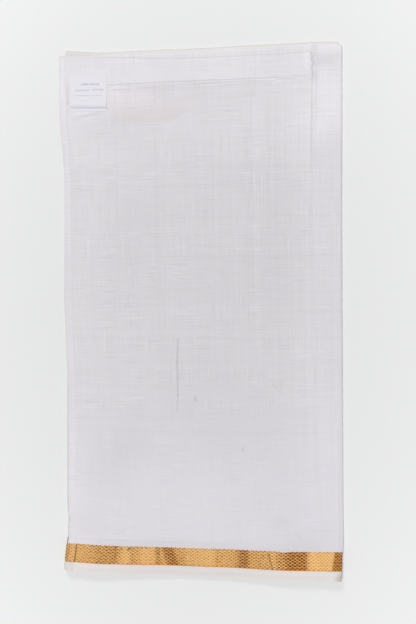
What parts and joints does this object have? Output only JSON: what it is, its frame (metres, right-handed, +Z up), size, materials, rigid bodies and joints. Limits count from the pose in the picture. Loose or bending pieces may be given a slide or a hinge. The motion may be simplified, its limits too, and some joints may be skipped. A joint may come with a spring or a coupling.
{
  "type": "folded dhoti cloth",
  "caption": "Cotton dhoti with a woven gold border, folded flat into an oblong packet, its hemmed end and a small blank label on top.",
  "frame": {"origin": "on the surface that the packet lies on, below the middle of its bounding box", "axes": "+X from the hemmed end to the right fold, +Y from the gold border to the upper fold, +Z up out of the face with the hem and label"},
  "size_m": [0.3437, 0.6353, 0.0127],
  "materials": {
    "ground_cotton": "fine white handloom mull, slightly sheer, with slubby yarns",
    "hem_cotton": "the same white mull, turned twice and sewn with white thread",
    "layered_cotton": "edges of the folded white mull layers",
    "selvedge_cotton": "close-woven ivory edge with a faint pink cast",
    "zari_weave": "metallic gold thread woven in a small lozenge lattice",
    "label_cloth": "blank white woven label with plain grey rules"
  },
  "bodies": {
    "root": {"folded_layers": "layered_cotton", "ground_panel": "ground_cotton", "zari_border": "zari_weave", "selvedge_strip": "selvedge_cotton", "end_hem": "hem_cotton", "end_hem_border": "zari_weave", "end_hem_selvedge": "selvedge_cotton", "label": "label_cloth"}
  },
  "joints": []
}
